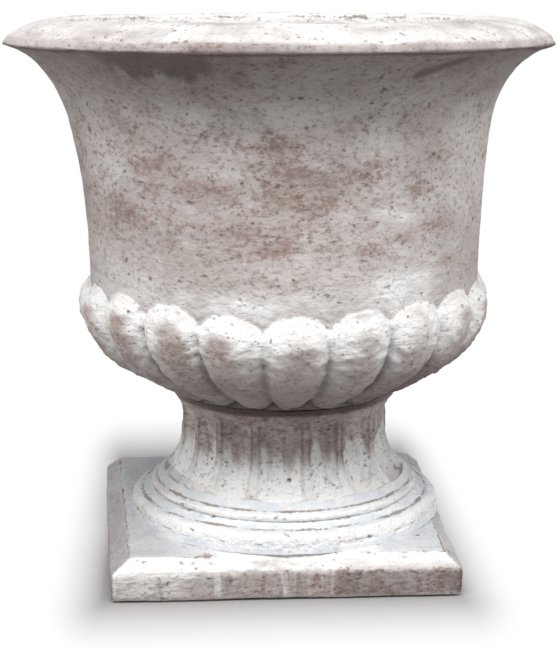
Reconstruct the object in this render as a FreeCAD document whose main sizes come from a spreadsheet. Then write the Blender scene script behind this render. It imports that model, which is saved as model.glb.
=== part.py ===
import FreeCAD, Part
import math
import os
import re
import Sketcher

# A footed planter: a gadrooned bowl that lifts off a fluted stem, on a square plinth.
# Millimetres, +Z up. The origin is the middle of the footprint, on the ground.

doc = FreeCAD.newDocument("footed_planter")

# Driving dimensions
SIZES = {
    # plinth and what it stands on
    "plinth_margin": 8,
    "plinth_corner_round": 5,
    "slab_height": 23.5,
    "bevel_rise": 14.5,
    "bevel_run": 14,
    "plinth_drain_radius": 20,
    "pad_radius": 18,
    "pad_clearance": 0.5,
    "pad_pocket_depth": 3,
    "pad_lift": 2.5,
    "pad_edge_distance": 40,
    # bed and pins between the plinth and the stem
    "bedding_thickness": 2,
    "bedding_inset": 2.5,
    "dowel_count": 4,
    "dowel_radius": 6,
    "dowel_clearance": 0.3,
    "dowel_depth_in_plinth": 18,
    "dowel_depth_in_stem": 14,
    "dowel_end_gap": 1,
    # stem
    "stem_height": 114,
    "neck_radius": 98.5,
    "neck_taper": 0.5,
    "neck_wall": 26.5,
    "cavetto_run": 7.5,
    "cavetto_height": 19,
    "neck_length": 20,
    "flare_run": 23,
    "flare_step": 3,
    "bead_step": 6,
    "bead_height": 7,
    "ledge_rise": 4.5,
    "foot_step": 19,
    "foot_height": 16.5,
    "foot_wall": 37,
    "core_height": 14,
    "socket_depth": 58,
    "flute_count": 16,
    "flute_width": 30,
    "flute_depth": 4,
    "flute_overcut": 2,
    "flute_drop": 10,
    "flute_run": 16,
    "flute_turn": 16.9,
    # ring that beds the bowl on the stem
    "seat_ring_thickness": 2,
    "seat_ring_margin": 7,
    # bowl
    "bowl_height": 348,
    "rim_radius": 250,
    "lip_drop": 23,
    "lip_rise": 11,
    "lip_run": 9,
    "crest_inset": 47,
    "mouth_inset": 56,
    "rim_overhang": 56.5,
    "waist_drop": 101.5,
    "wall_lean": 11,
    "belly_height": 103.5,
    "collar_setback": 3,
    "collar_height": 22,
    "wall_thickness": 16.5,
    "floor_height": 33.5,
    "cavity_round": 70,
    "spigot_clearance": 4,
    "spigot_wall": 16,
    "spigot_depth": 14,
    "base_recess": 12,
    "drain_radius": 15,
    "overrun": 5,
    # gadroons
    "gadroon_count": 20,
    "gadroon_proud": 12,
    "gadroon_crest_drop": 10.5,
    "gadroon_tip_run": 27,
    "gadroon_tip_rise": 17.5,
    "gadroon_base_height": 9.5,
    "gadroon_base_proud": 1,
    "gadroon_root_run": 18,
    "gadroon_root_rise": 10.5,
    # screen over the drain hole
    "screen_radius": 34,
    "screen_thickness": 2.5,
    "screen_clearance": 1,
    "screen_hole_radius": 2.5,
    "inner_hole_circle": 10,
    "inner_hole_count": 6,
    "outer_hole_circle": 22,
    "outer_hole_count": 12,
}

sheet = doc.addObject("Spreadsheet::Sheet", "Sizes")
for row, (alias, number) in enumerate(SIZES.items(), start=1):
    sheet.set(f"A{row}", alias)
    sheet.set(f"B{row}", str(number))
    sheet.setAlias(f"B{row}", alias)
doc.recompute()

# Sizes that follow from the driving ones
NECK_FOOT = "(neck_radius + neck_taper)"
FLARE_RADIUS = f"({NECK_FOOT} + flare_run)"
BEAD_RADIUS = f"({FLARE_RADIUS} + bead_step)"
BEAD_CORE = f"({BEAD_RADIUS} - bead_height / 2)"
FOOT_RADIUS = f"({BEAD_RADIUS} + foot_step)"
FOOT_CORE = f"({FOOT_RADIUS} - foot_height / 2)"
CORE_RADIUS = f"({FOOT_CORE} - foot_wall)"
SOCKET_RADIUS = "(neck_radius - neck_wall)"
STEM_TOP_RADIUS = "(neck_radius + cavetto_run)"
LEDGE_TOP = "(foot_height + ledge_rise)"
BEAD_TOP = f"({LEDGE_TOP} + bead_height)"
FLARE_BASE = f"({BEAD_TOP} + flare_step)"
FLARE_TOP = "(stem_height - cavetto_height - neck_length)"
FLARE_RISE = f"({FLARE_TOP} - {FLARE_BASE})"
FLARE_BEND = f"((flare_run^2 + {FLARE_RISE}^2) / (2 * flare_run))"
FLUTE_TOP = "(stem_height - flute_drop)"
FLUTE_END_RADIUS = f"({NECK_FOOT} + flute_run)"
FLUTE_END_DROP = f"(({FLARE_BEND}^2 - ({FLARE_BEND} - flute_run)^2)^0.5)"
FLUTE_END = f"({FLARE_TOP} - {FLUTE_END_DROP})"
DOWEL_CIRCLE = f"(({CORE_RADIUS} + {FOOT_CORE}) / 2)"
DOWEL_HOLE = "(dowel_radius + dowel_clearance)"
PLINTH_HALF = f"({FOOT_RADIUS} + plinth_margin)"
PAD_PLACE = f"({PLINTH_HALF} - pad_edge_distance)"
SPIGOT_RADIUS = f"({SOCKET_RADIUS} - spigot_clearance)"
COLLAR_RADIUS = f"({STEM_TOP_RADIUS} - collar_setback)"
WAIST_RADIUS = "(rim_radius - rim_overhang)"
WAIST_HEIGHT = "(bowl_height - waist_drop)"
BELLY_RADIUS = f"({WAIST_RADIUS} - wall_lean)"
LIP_HEIGHT = "(bowl_height - lip_drop)"
CREST_RADIUS = "(rim_radius - crest_inset)"
MOUTH_RADIUS = "(rim_radius - mouth_inset)"
CAVITY_RADIUS = f"({BELLY_RADIUS} - wall_thickness)"
CAVITY_CURVE = "(floor_height + cavity_round)"
SCREEN_SEAT = "(floor_height - screen_thickness)"
GADROON_CREST = f"({BELLY_RADIUS} + gadroon_proud)"
GADROON_WIDEST = "(belly_height - gadroon_crest_drop)"
GADROON_BASE = f"({COLLAR_RADIUS} + gadroon_base_proud)"

# Heights of the pieces above the ground
PLINTH_BASE = "pad_lift"
PLINTH_TOP = f"({PLINTH_BASE} + slab_height + bevel_rise)"
STEM_BASE = f"({PLINTH_TOP} + bedding_thickness)"
STEM_TOP = f"({STEM_BASE} + stem_height)"
BOWL_BASE = f"({STEM_TOP} + seat_ring_thickness)"


def bound(formula):
    """The formula with each size written as a reference to its cell."""
    return re.sub(r"[a-z_]+", lambda word: f"Sizes.{word.group()}", formula)


def value(formula):
    """The number that a formula of sizes gives now."""
    return float(sheet.evalExpression(bound(formula)))


def origin_part(body, role):
    """An axis or plane of the body's own origin."""
    return next(part for part in body.Origin.OriginFeatures if part.Role == role)


def new_body(label, height):
    """An empty body whose frame stands at a height above the ground."""
    body = doc.addObject("PartDesign::Body", label)
    body.Label = label
    body.setExpression("Placement.Base.z", bound(height))
    return body


def new_sketch(body, name, plane="XY_Plane", height="0"):
    """An empty sketch on one of the body's origin planes, lifted by a height."""
    sketch = body.newObject("Sketcher::SketchObject", name)
    sketch.AttachmentSupport = [(origin_part(body, plane), "")]
    sketch.MapMode = "FlatFace"
    sketch.setExpression("AttachmentOffset.Base.z", bound(height))
    return sketch


def turn_sketch(sketch, axis, angle):
    """Turn a sketch about one of its own axes, by an angle in degrees."""
    sketch.AttachmentOffset.Rotation = FreeCAD.Rotation(axis, value(angle))
    sketch.setExpression("AttachmentOffset.Rotation.Angle", f"1 deg * {bound(angle)}")


def fix(sketch, kind, geometry, point, formula):
    """Hold a point of the sketch at a distance from its origin, along X or Y."""
    if formula == "0":
        axis = -2 if kind == "DistanceX" else -1
        sketch.addConstraint(Sketcher.Constraint("PointOnObject", geometry, point, axis))
        return
    distance = Sketcher.Constraint(kind, -1, 1, geometry, point, value(formula))
    index = sketch.addConstraint(distance)
    sketch.setExpression(f"Constraints[{index}]", bound(formula))


def corner(x, y, centre_x=None, centre_y=None, turn=None):
    """A corner of an outline. With a centre, the edge that leaves it is an arc, turning left or right."""
    return {"x": x, "y": y, "centre_x": centre_x, "centre_y": centre_y, "turn": turn}


def arc_centre(start, end, spec):
    """The centre, as far from both ends, whose X or Y is given."""
    if spec["centre_x"]:
        x = value(spec["centre_x"])
        square_gap = (end.x - x) ** 2 - (start.x - x) ** 2 + end.y ** 2 - start.y ** 2
        return FreeCAD.Vector(x, square_gap / (2 * (end.y - start.y)), 0)
    y = value(spec["centre_y"])
    square_gap = (end.y - y) ** 2 - (start.y - y) ** 2 + end.x ** 2 - start.x ** 2
    return FreeCAD.Vector(square_gap / (2 * (end.x - start.x)), y, 0)


def add_edge(sketch, start, end, spec):
    """A line or an arc. Returns its number and which of its points are the start and the end."""
    if spec["turn"] is None:
        return sketch.addGeometry(Part.LineSegment(start, end)), 1, 2
    centre = arc_centre(start, end, spec)
    circle = Part.Circle(centre, FreeCAD.Vector(0, 0, 1), start.distanceToPoint(centre))
    start_angle = math.atan2(start.y - centre.y, start.x - centre.x)
    end_angle = math.atan2(end.y - centre.y, end.x - centre.x)
    if spec["turn"] == "left":
        return sketch.addGeometry(Part.ArcOfCircle(circle, start_angle, end_angle)), 1, 2
    return sketch.addGeometry(Part.ArcOfCircle(circle, end_angle, start_angle)), 2, 1


def draw(sketch, corners, closed=True):
    """Join the corners by lines and arcs, and bind each corner to its sizes."""
    points = [FreeCAD.Vector(value(spec["x"]), value(spec["y"]), 0) for spec in corners]
    edge_count = len(corners) if closed else len(corners) - 1
    edges = []
    for index in range(edge_count):
        after = points[(index + 1) % len(points)]
        edges.append(add_edge(sketch, points[index], after, corners[index]))
    for index, (edge, first, last) in enumerate(edges):
        spec = corners[index]
        if index > 0:
            before = edges[index - 1]
            sketch.addConstraint(Sketcher.Constraint("Coincident", before[0], before[2], edge, first))
        fix(sketch, "DistanceX", edge, first, spec["x"])
        fix(sketch, "DistanceY", edge, first, spec["y"])
        if spec["centre_x"]:
            fix(sketch, "DistanceX", edge, 3, spec["centre_x"])
        elif spec["centre_y"]:
            fix(sketch, "DistanceY", edge, 3, spec["centre_y"])
    edge, first, last = edges[-1]
    if closed:
        sketch.addConstraint(Sketcher.Constraint("Coincident", edge, last, edges[0][0], edges[0][1]))
    else:
        fix(sketch, "DistanceX", edge, last, corners[-1]["x"])
        fix(sketch, "DistanceY", edge, last, corners[-1]["y"])
    return sketch


def add_circle(sketch, radius, x="0", y="0"):
    """A circle bound to its radius and its centre."""
    centre = FreeCAD.Vector(value(x), value(y), 0)
    geometry = sketch.addGeometry(Part.Circle(centre, FreeCAD.Vector(0, 0, 1), value(radius)))
    fix(sketch, "DistanceX", geometry, 3, x)
    fix(sketch, "DistanceY", geometry, 3, y)
    index = sketch.addConstraint(Sketcher.Constraint("Radius", geometry, value(radius)))
    sketch.setExpression(f"Constraints[{index}]", bound(radius))


def revolve(body, sketch, kind, name, axis="V_Axis"):
    """Turn a sketch right round an axis of its own, to add or to cut."""
    feature = body.newObject(f"PartDesign::{kind}", name)
    feature.Profile = sketch
    feature.ReferenceAxis = (sketch, [axis])
    feature.Angle = 360
    return feature


def pad(body, sketch, name, length):
    """Raise a sketch upwards."""
    feature = body.newObject("PartDesign::Pad", name)
    feature.Profile = sketch
    feature.setExpression("Length", bound(length))
    return feature


def pocket(body, sketch, name, depth, upwards=False):
    """Sink a sketch into the body, downwards unless it starts at the underside."""
    feature = body.newObject("PartDesign::Pocket", name)
    feature.Profile = sketch
    feature.Reversed = upwards
    feature.setExpression("Length", bound(depth))
    return feature


def repeat_round(body, feature, name, count):
    """Repeat a feature evenly round the body's upright axis."""
    pattern = body.newObject("PartDesign::PolarPattern", name)
    pattern.Originals = [feature]
    pattern.Axis = (origin_part(body, "Z_Axis"), [""])
    pattern.Angle = 360
    pattern.setExpression("Occurrences", bound(count))
    body.Tip = pattern
    return pattern


def rounded_square(body, name, half, height):
    """A square with rounded corners, centred on the upright axis, given by half its side."""
    flat = f"({half} - plinth_corner_round)"
    corners = []
    # each pair is one corner: the end of a side, then the start of the next
    for x, y in ((1, -1), (1, 1), (-1, 1), (-1, -1)):
        along_x = (f"{x} * {flat}", f"{y} * {half}")
        along_y = (f"{x} * {half}", f"{y} * {flat}")
        first, second = (along_x, along_y) if x * y < 0 else (along_y, along_x)
        corners.append(corner(*first, centre_x=f"{x} * {flat}", turn="left"))
        corners.append(corner(*second))
    return draw(new_sketch(body, name, height=height), corners)


def make_plinth():
    """A square slab with a sloped top edge, a drain hole, pad pockets and dowel holes."""
    body = new_body("plinth", PLINTH_BASE)
    top_half = f"({PLINTH_HALF} - bevel_run)"
    height = "(slab_height + bevel_rise)"
    slab = body.newObject("PartDesign::AdditiveLoft", "slab")
    slab.Profile = rounded_square(body, "slab_underside", PLINTH_HALF, "0")
    bevel_foot = rounded_square(body, "bevel_foot", PLINTH_HALF, "slab_height")
    bevel_top = rounded_square(body, "bevel_top", top_half, height)
    slab.Sections = [bevel_foot, bevel_top]
    slab.Ruled = True

    drain = new_sketch(body, "drain_circle")
    add_circle(drain, "plinth_drain_radius")
    pocket(body, drain, "drain_hole", height, upwards=True)

    pad_seat = new_sketch(body, "pad_seat_circle")
    add_circle(pad_seat, "(pad_radius + pad_clearance)", PAD_PLACE, PAD_PLACE)
    seat_cut = pocket(body, pad_seat, "pad_seat", "pad_pocket_depth", upwards=True)
    repeat_round(body, seat_cut, "pad_seats", "4")

    dowel = new_sketch(body, "dowel_circle", height=height)
    add_circle(dowel, DOWEL_HOLE, DOWEL_CIRCLE)
    dowel_cut = pocket(body, dowel, "dowel_hole", "dowel_depth_in_plinth")
    repeat_round(body, dowel_cut, "dowel_holes", "dowel_count")
    return body


def make_plinth_pads():
    """One pad in each pocket under the plinth, standing out below it."""
    body = new_body("plinth_pads", "0")
    disc = new_sketch(body, "pad_circle")
    add_circle(disc, "pad_radius", PAD_PLACE, PAD_PLACE)
    one_pad = pad(body, disc, "corner_pad", "(pad_lift + pad_pocket_depth)")
    repeat_round(body, one_pad, "corner_pads", "4")
    return body


def make_foot_bedding():
    """The mortar ring under the stem's foot, open at each dowel."""
    body = new_body("foot_bedding", PLINTH_TOP)
    ring = new_sketch(body, "bed_circles")
    add_circle(ring, f"({FOOT_CORE} - bedding_inset)")
    add_circle(ring, f"({CORE_RADIUS} + bedding_inset)")
    pad(body, ring, "bed", "bedding_thickness")

    dowel = new_sketch(body, "dowel_circle")
    add_circle(dowel, DOWEL_HOLE, DOWEL_CIRCLE)
    dowel_cut = pocket(body, dowel, "dowel_hole", "bedding_thickness", upwards=True)
    repeat_round(body, dowel_cut, "dowel_holes", "dowel_count")
    return body


def make_foot_dowels():
    """Pins that stand in the plinth and reach up into the stem's foot."""
    body = new_body("foot_dowels", f"({PLINTH_TOP} - dowel_depth_in_plinth)")
    circle = new_sketch(body, "pin_circle")
    add_circle(circle, "dowel_radius", DOWEL_CIRCLE)
    length = "(dowel_depth_in_plinth + bedding_thickness + dowel_depth_in_stem)"
    pin = pad(body, circle, "pin", length)
    repeat_round(body, pin, "pins", "dowel_count")
    return body


def make_stem():
    """A hollow fluted stem: torus foot, bead, flare, neck and a cavetto under the bowl."""
    body = new_body("stem", STEM_BASE)
    profile = new_sketch(body, "stem_profile", "XZ_Plane")
    cavetto_foot = "(stem_height - cavetto_height)"
    draw(profile, [
        corner(CORE_RADIUS, "0"),
        corner(FOOT_CORE, "0", centre_x=FOOT_CORE, turn="left"),
        corner(FOOT_CORE, "foot_height"),
        corner(BEAD_CORE, LEDGE_TOP, centre_x=BEAD_CORE, turn="left"),
        corner(BEAD_CORE, BEAD_TOP),
        corner(FLARE_RADIUS, BEAD_TOP),
        corner(FLARE_RADIUS, FLARE_BASE, centre_y=FLARE_TOP, turn="right"),
        corner(NECK_FOOT, FLARE_TOP),
        corner("neck_radius", cavetto_foot, centre_y=cavetto_foot, turn="right"),
        corner(STEM_TOP_RADIUS, "stem_height"),
        corner(SOCKET_RADIUS, "stem_height"),
        corner(SOCKET_RADIUS, "(stem_height - socket_depth)"),
        corner(CORE_RADIUS, "core_height"),
    ])
    revolve(body, profile, "Revolution", "turned_stem")

    # the flutes stand a little turned from the plinth's sides
    flute_path = new_sketch(body, "flute_path", "XZ_Plane")
    turn_sketch(flute_path, FreeCAD.Vector(0, 1, 0), "flute_turn")
    draw(flute_path, [
        corner(NECK_FOOT, FLUTE_TOP),
        corner(NECK_FOOT, FLARE_TOP, centre_y=FLARE_TOP, turn="left"),
        corner(FLUTE_END_RADIUS, FLUTE_END),
    ], closed=False)
    flute_section = new_sketch(body, "flute_section", height=FLUTE_TOP)
    turn_sketch(flute_section, FreeCAD.Vector(0, 0, 1), "flute_turn")
    outer_edge = f"({NECK_FOOT} + flute_overcut)"
    deepest = f"({NECK_FOOT} - flute_depth)"
    half_width = "(flute_width / 2)"
    draw(flute_section, [
        corner(outer_edge, f"-1 * {half_width}"),
        corner(outer_edge, half_width, centre_y="0", turn="left"),
        corner(deepest, "0", centre_y="0", turn="left"),
    ])
    flute = body.newObject("PartDesign::SubtractivePipe", "flute")
    flute.Profile = flute_section
    flute.Spine = (flute_path, ["Edge1", "Edge2"])
    repeat_round(body, flute, "flutes", "flute_count")

    dowel = new_sketch(body, "dowel_circle")
    add_circle(dowel, DOWEL_HOLE, DOWEL_CIRCLE)
    dowel_cut = pocket(body, dowel, "dowel_hole", "(dowel_depth_in_stem + dowel_end_gap)", upwards=True)
    repeat_round(body, dowel_cut, "dowel_holes", "dowel_count")
    return body


def make_bowl_seat_ring():
    """The thin ring on top of the stem that the bowl stands on."""
    body = new_body("bowl_seat_ring", STEM_TOP)
    ring = new_sketch(body, "ring_circles")
    add_circle(ring, f"({STEM_TOP_RADIUS} - seat_ring_margin)")
    add_circle(ring, f"({SOCKET_RADIUS} + seat_ring_margin)")
    pad(body, ring, "ring", "seat_ring_thickness")
    return body


def make_bowl():
    """The bowl: turned outside, a ring of gadroons, then everything hollow in one cut."""
    body = new_body("bowl", BOWL_BASE)
    outside = new_sketch(body, "outside_profile", "YZ_Plane")
    lip_inner = "(rim_radius - lip_run)"
    draw(outside, [
        corner("0", "-1 * spigot_depth"),
        corner(SPIGOT_RADIUS, "-1 * spigot_depth"),
        corner(SPIGOT_RADIUS, "0"),
        corner(COLLAR_RADIUS, "0"),
        corner(COLLAR_RADIUS, "collar_height", centre_x=COLLAR_RADIUS, turn="left"),
        corner(BELLY_RADIUS, "belly_height", centre_y="belly_height", turn="right"),
        corner(WAIST_RADIUS, WAIST_HEIGHT, centre_y=WAIST_HEIGHT, turn="right"),
        corner("rim_radius", LIP_HEIGHT),
        corner(lip_inner, f"({LIP_HEIGHT} + lip_rise)", centre_x=CREST_RADIUS, turn="left"),
        corner(CREST_RADIUS, "bowl_height"),
        corner("0", "bowl_height"),
    ])
    revolve(body, outside, "Revolution", "turned_bowl")

    # a gadroon is a spindle turned about the line from its tip to its root
    gadroon_profile = new_sketch(body, "gadroon_profile", "YZ_Plane")
    tip_height = f"({GADROON_WIDEST} + gadroon_tip_rise)"
    root_height = "(gadroon_base_height + gadroon_root_rise)"
    draw(gadroon_profile, [
        corner(f"({GADROON_CREST} - gadroon_tip_run)", tip_height, centre_y=GADROON_WIDEST, turn="right"),
        corner(GADROON_CREST, GADROON_WIDEST, centre_x=GADROON_BASE, turn="right"),
        corner(GADROON_BASE, "gadroon_base_height"),
        corner(f"({GADROON_BASE} - gadroon_root_run)", root_height),
    ])
    spindle = gadroon_profile.Geometry[-1]
    spindle_edge = gadroon_profile.GeometryCount - 1
    axis = gadroon_profile.addGeometry(Part.LineSegment(spindle.StartPoint, spindle.EndPoint), True)
    for end in (1, 2):
        gadroon_profile.addConstraint(Sketcher.Constraint("Coincident", axis, end, spindle_edge, end))
    gadroon = revolve(body, gadroon_profile, "Revolution", "gadroon", axis="Axis0")
    repeat_round(body, gadroon, "gadroons", "gadroon_count")

    hollow = new_sketch(body, "hollow_profile", "YZ_Plane")
    under = "(-1 * spigot_depth - overrun)"
    above = "(bowl_height + overrun)"
    recess_radius = f"({SPIGOT_RADIUS} - spigot_wall)"
    screen_seat_radius = "(screen_radius + screen_clearance)"
    floor_edge = f"({CAVITY_RADIUS} - cavity_round)"
    draw(hollow, [
        corner("0", under),
        corner(recess_radius, under),
        corner(recess_radius, "base_recess"),
        corner("drain_radius", "base_recess"),
        corner("drain_radius", SCREEN_SEAT),
        corner(screen_seat_radius, SCREEN_SEAT),
        corner(screen_seat_radius, "floor_height"),
        corner(floor_edge, "floor_height", centre_x=floor_edge, turn="left"),
        corner(CAVITY_RADIUS, CAVITY_CURVE, centre_y=CAVITY_CURVE, turn="right"),
        corner(f"({WAIST_RADIUS} - wall_thickness)", WAIST_HEIGHT, centre_y=WAIST_HEIGHT, turn="right"),
        corner(MOUTH_RADIUS, "bowl_height"),
        corner(MOUTH_RADIUS, above),
        corner("0", above),
    ])
    revolve(body, hollow, "Groove", "hollow")
    return body


def make_drain_screen():
    """A perforated disc that lies flush in the bowl's floor."""
    body = new_body("drain_screen", f"({BOWL_BASE} + {SCREEN_SEAT})")
    disc = new_sketch(body, "disc_circles")
    add_circle(disc, "screen_radius")
    add_circle(disc, "screen_hole_radius")
    pad(body, disc, "disc", "screen_thickness")
    for ring in ("inner", "outer"):
        circle = new_sketch(body, f"{ring}_hole_circle")
        add_circle(circle, "screen_hole_radius", f"{ring}_hole_circle")
        hole = pocket(body, circle, f"{ring}_hole", "screen_thickness", upwards=True)
        repeat_round(body, hole, f"{ring}_holes", f"{ring}_hole_count")
    return body


def check(bodies):
    """Stop if a feature failed, a cut removed nothing or a solid is not sound."""
    for item in doc.Objects:
        if "Invalid" in item.State or "Error" in item.State:
            raise RuntimeError(f"{item.Label} failed: {item.State}")
    cuts = ("PartDesign::Pocket", "PartDesign::Groove", "PartDesign::SubtractivePipe")
    for item in doc.Objects:
        if item.TypeId in cuts and item.Shape.Volume >= item.BaseFeature.Shape.Volume:
            raise RuntimeError(f"{item.Label} removed nothing")
    for body in bodies:
        if body.Shape.isNull() or not body.Shape.isValid():
            raise RuntimeError(f"{body.Label} is not a sound solid")


planter = [
    make_plinth(),
    make_plinth_pads(),
    make_foot_bedding(),
    make_foot_dowels(),
    make_stem(),
    make_bowl_seat_ring(),
    make_bowl(),
    make_drain_screen(),
]
doc.recompute()
check(planter)

os.makedirs("parts", exist_ok=True)
for piece in planter:
    piece.Shape.exportStep(f"parts/{piece.Label}.step")
    solids = len(piece.Shape.Solids)
    box = piece.Shape.optimalBoundingBox()
    print(f"{piece.Label}: {solids} solid(s), {piece.Shape.Volume / 1e6:.3f} litres, "
          f"{box.XLength:.1f} x {box.YLength:.1f} mm, z {box.ZMin:.1f} to {box.ZMax:.1f}")
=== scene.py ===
import math

import bmesh
import bpy
import numpy as np
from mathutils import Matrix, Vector


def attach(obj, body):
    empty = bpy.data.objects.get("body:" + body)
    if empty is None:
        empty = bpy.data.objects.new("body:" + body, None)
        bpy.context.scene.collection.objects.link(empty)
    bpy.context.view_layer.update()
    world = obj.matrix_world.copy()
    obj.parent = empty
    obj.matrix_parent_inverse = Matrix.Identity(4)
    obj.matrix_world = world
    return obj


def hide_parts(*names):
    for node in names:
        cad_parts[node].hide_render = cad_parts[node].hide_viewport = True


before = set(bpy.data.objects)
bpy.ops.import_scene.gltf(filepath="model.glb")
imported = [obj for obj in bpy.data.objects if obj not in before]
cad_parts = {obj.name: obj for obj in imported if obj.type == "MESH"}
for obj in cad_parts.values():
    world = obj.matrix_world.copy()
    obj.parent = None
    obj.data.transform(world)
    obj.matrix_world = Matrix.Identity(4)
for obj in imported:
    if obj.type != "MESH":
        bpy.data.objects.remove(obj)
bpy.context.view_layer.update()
bpy.ops.object.select_all(action="DESELECT")

# Lengths are in millimetres and angles in degrees, unless a comment says otherwise
MM = 0.001
rng = np.random.default_rng(18)

# The planter's front, and where the viewer stands, round from it
FRONT = 270
VIEWER_TURN = -3.2

# The photograph's camera. Its lens comes from a focal length in pixels and the picture's height
FOCAL_PIXELS = 1576
PICTURE_PIXELS = 649
SENSOR_SIDE = 36
CAMERA_AWAY = 1474
CAMERA_ASIDE = -4.2
CAMERA_HEIGHT = 540
CAMERA_DIP = 12.33

# Lamps: name, place, target, width and height, all in metres, and watts
LAMPS = [
    ("high_front", (-0.2, -2.7, 4.4), (0, 0, 0.25), 6.4, 1.8, 284),
    ("left_side", (-2.2, -0.6, 0.75), (0, 0, 0.3), 1.6, 1.2, 11),
    ("right_side", (2.2, -0.6, 0.75), (0, 0, 0.3), 1.6, 1.2, 11),
]

# Turned pieces: how many columns of points go round, and how close points are joined.
# All pieces: the angle from which an edge is left sharp
COLUMNS = 480
PROFILE_WELD = 0.2
SEAM_WELD = 0.01
SHARP_EDGE = 50

# The bowl: its ring of gadroons and how deep they are carved, the least radius of the wall's
# outside, and how far the rim leans to the left
GADROONS = 20
GADROON_SPAN = 360 / GADROONS
GADROON_FOOT = 161
GADROON_TOP = 271.5
GADROON_ROUNDNESS = 0.9
CREASE_DEPTH = 13
END_LIFT = 5
NOTCH_DEPTH = 12.5
SAG_DEPTH = 10
WALL_RADIUS = 181
RIM_LEAN = 4.5

# Where the wall is rubbed down to brown clay, and where the limewash lies thick on it:
# angle from the viewer, height, and how far each reaches round and up
RUBBED_PATCHES = [
    (-3, 329, 11, 9), (-1, 320, 9, 7), (-12, 336, 7, 5), (2, 292, 9, 4), (45, 333, 8, 6),
    (50, 300, 5, 5), (0, 407, 9, 8), (-1, 388, 11, 9), (5, 362, 12, 12), (-64, 359, 5, 16),
    (-54, 345, 8, 12), (-46, 343, 6, 9), (22, 318, 6, 6), (31, 326, 5, 4), (20, 380, 10, 8),
    (38, 366, 6, 9), (-34, 388, 10, 8), (-20, 372, 8, 8), (118, 330, 12, 12), (150, 380, 16, 10),
    (-140, 320, 12, 12), (-112, 370, 10, 14), (176, 310, 14, 8),
]
LIMEWASH_PATCHES = [
    (-37, 303, 8, 18), (-44, 362, 4, 16), (33, 345, 7, 8), (-18, 318, 5, 7), (-9, 282, 24, 8),
    (36, 290, 16, 9), (-26, 352, 6, 9), (28, 350, 7, 9), (52, 384, 8, 12), (-25, 322, 6, 10),
    (56, 316, 7, 12), (95, 340, 10, 20), (160, 300, 24, 14), (-90, 300, 10, 24), (-130, 370, 9, 16),
]

# Where the top of the rim is rubbed: angle from the viewer, distance from the axis, and reach
RIM_PATCHES = [
    (-58, 241, 12, 5), (-44, 243, 9, 4), (-33, 236, 8, 7), (-14, 212, 12, 6), (8, 208, 10, 5),
    (24, 226, 9, 6), (46, 214, 10, 7), (70, 236, 9, 6), (130, 228, 14, 8), (-120, 220, 16, 8),
    (175, 238, 12, 6),
]

# The narrow upright fillets between the stem's flutes, as angles from the viewer.
# They are uneven where the photograph shows them, and even round the back
SEEN_FILLETS = [-55.7, -37.5, -15.6, 12, 31, 56, 98]
BACK_FILLETS = [98 + 20.6 * step for step in range(1, 10)]
FLUTE_DEPTH = 6.5
BROAD_FLUTE = 40
BROAD_FLUTE_DEPTH = 9

# The plinth's slab: side, height, the height of its middle, and the grain of its surface.
# Corners: left or right, front or back, and how far each is drawn aside and back
PLINTH_SIDE = 310
PLINTH_HEIGHT = 38.2
PLINTH_MIDDLE = 21.4
PLINTH_GRAIN = 2.6
PLINTH_CORNERS = [(-1, -1, -7.5, 0), (1, -1, -4.4, 0), (-1, 1, -27, 18), (1, 1, 1, 14)]

# The slope round the plinth's top, and how far the top's front corners are drawn aside and forward
SLOPE_WIDTH = 14.2
SLOPE_CORNERS = [(-1, 5), (1, -2)]
SLOPE_FORWARD = -4

# The drain hole right through the plinth, and the hollows for the pads under its corners
BORE_FOOT = -10
DRAIN_RADIUS = 20
DRAIN_TOP = 60
PAD_RADIUS = 18.5
PAD_PLACE = 115
PAD_TOP = 5.5


class Profile:
    """A profile drawn point by point beside the axis, and then turned round it."""

    def __init__(self, name, radius, height):
        bpy.ops.object.select_all(action="DESELECT")
        bpy.ops.mesh.primitive_plane_add(size=0.01)
        self.piece = bpy.context.object
        self.piece.name = name
        bpy.ops.object.mode_set(mode="EDIT")
        bpy.ops.mesh.select_all(action="SELECT")
        bpy.ops.mesh.merge(type="CENTER")
        bpy.ops.mesh.select_all(action="SELECT")
        bpy.ops.transform.translate(value=(radius * MM, 0, height * MM))
        self.pen = Vector((radius, 0, height))

    def line(self, radius, height, steps=1):
        """Draw on in a straight line."""
        end = Vector((radius, 0, height))
        step = (end - self.pen) * MM / steps
        for _ in range(steps):
            bpy.ops.mesh.extrude_region_move(TRANSFORM_OT_translate={"value": step})
        self.pen = end

    def arc(self, radius, height, centre, steps):
        """Draw on round a centre, the short way, towards a point."""
        middle = Vector((centre[0], 0, centre[1]))
        start = self.pen - middle
        end = Vector((radius, 0, height)) - middle
        turn = math.atan2(end.z, end.x) - math.atan2(start.z, start.x)
        turn = (turn + math.pi) % math.tau - math.pi
        bpy.ops.mesh.spin(steps=steps, angle=turn, center=middle * MM, axis=(0, 1, 0))
        heading = math.atan2(start.z, start.x) + turn
        self.pen = middle + start.length * Vector((math.cos(heading), 0, math.sin(heading)))

    def turn(self):
        """Close the profile and spin it right round the axis."""
        bpy.ops.mesh.select_all(action="SELECT")
        bpy.ops.mesh.remove_doubles(threshold=PROFILE_WELD * MM)
        bpy.ops.mesh.select_all(action="SELECT")
        bpy.ops.mesh.spin(steps=COLUMNS, angle=math.tau, center=(0, 0, 0), axis=(0, 0, 1))
        bpy.ops.mesh.select_all(action="SELECT")
        bpy.ops.mesh.remove_doubles(threshold=SEAM_WELD * MM)
        bpy.ops.mesh.select_all(action="SELECT")
        bpy.ops.mesh.normals_make_consistent(inside=False)
        bpy.ops.object.mode_set(mode="OBJECT")
        return self.piece


def places_of(piece):
    """Where the piece's points are, in millimetres."""
    places = np.zeros(len(piece.data.vertices) * 3)
    piece.data.vertices.foreach_get("co", places)
    return places.reshape(-1, 3) / MM


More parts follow.
